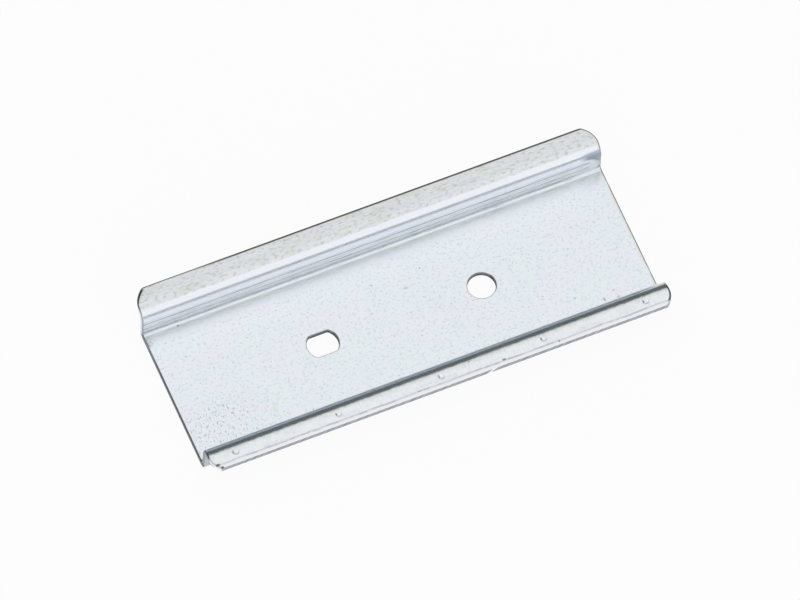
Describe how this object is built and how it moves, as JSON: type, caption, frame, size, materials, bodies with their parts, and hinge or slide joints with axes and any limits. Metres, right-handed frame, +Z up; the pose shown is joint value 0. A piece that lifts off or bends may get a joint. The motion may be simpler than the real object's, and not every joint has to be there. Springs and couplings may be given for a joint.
{
  "type": "din rail",
  "caption": "Short length of 35 mm top-hat mounting rail pressed from galvanised steel sheet: a shallow channel with outward lips, fixed through a round hole and a slot in its web.",
  "frame": {"origin": "middle of the web's underside, on the surface that the rail lies on", "axes": "+X along the rail towards the end with the round hole, +Y across it towards the plain back lip (the dented lip is at -Y), +Z up, from the web towards the lips"},
  "size_m": [0.081, 0.035, 0.0075],
  "materials": {
    "galvanised_steel": "zinc-coated, cold formed, satin"
  },
  "bodies": {
    "root": {"rail": "galvanised_steel"}
  },
  "joints": []
}
